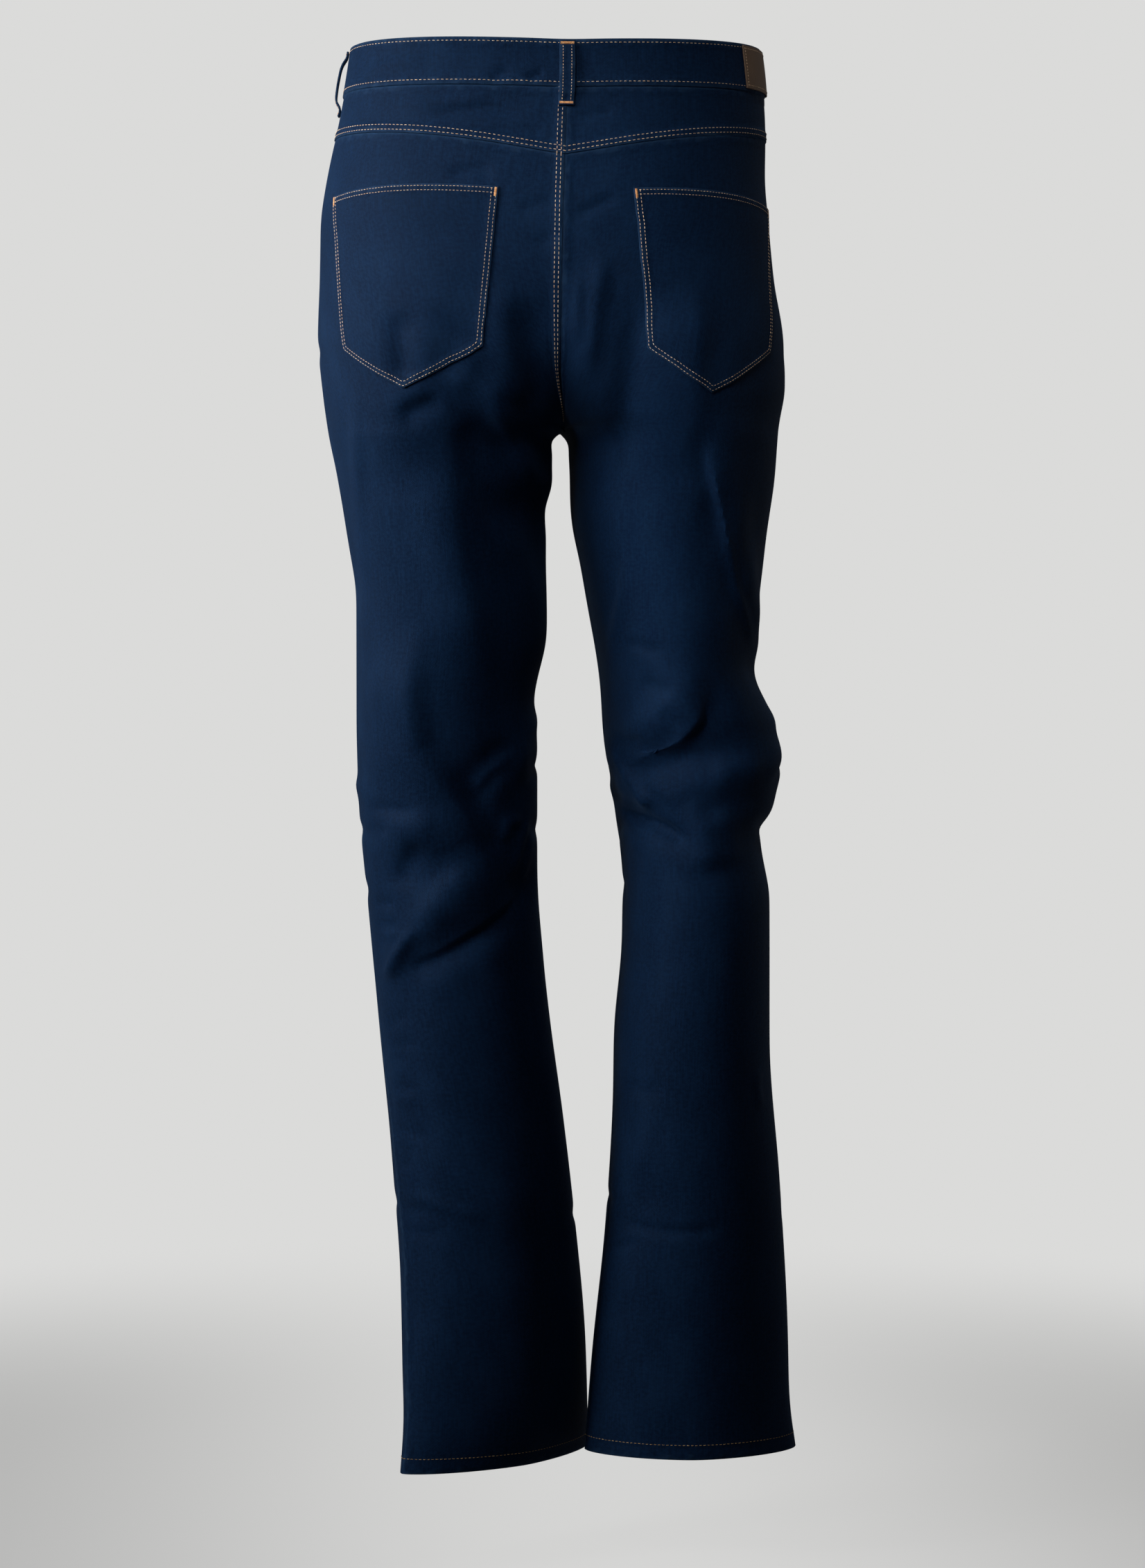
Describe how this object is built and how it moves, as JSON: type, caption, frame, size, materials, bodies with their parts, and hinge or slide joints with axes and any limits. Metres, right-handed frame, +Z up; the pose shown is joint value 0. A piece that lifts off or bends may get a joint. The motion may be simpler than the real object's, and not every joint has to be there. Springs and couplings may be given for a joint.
{
  "type": "jeans",
  "caption": "Denim jeans, hollow as worn: straight legs folded behind the knees, back yokes, patch pockets, belt loops, leather patch, waist button and turned hems.",
  "frame": {"origin": "middle of the waist, 14 mm under the waistband's top edge at the sides", "axes": "+Z up, from the hems to the waist; -Y out of the front, where the button is; +X to the wearer's left"},
  "size_m": [0.36, 0.2587, 1.0555],
  "materials": {
    "denim": "smooth dark indigo twill with a slight sheen",
    "denim_dark": "dark indigo twill, two layers",
    "leather": "matt brown leather",
    "brass": "aged brass"
  },
  "bodies": {
    "root": {"back_panel_left": "denim", "back_panel_right": "denim", "front_panel_left": "denim", "front_panel_right": "denim", "yoke_left": "denim", "yoke_right": "denim", "back_pocket_left": "denim", "back_pocket_right": "denim", "waistband": "denim_dark", "belt_loop_back": "denim_dark", "belt_loop_side_left": "denim_dark", "belt_loop_side_right": "denim_dark", "belt_loop_front_left": "denim_dark", "belt_loop_front_right": "denim_dark", "fly_shield": "denim_dark", "leather_patch": "leather", "waist_button": "brass"}
  },
  "joints": []
}
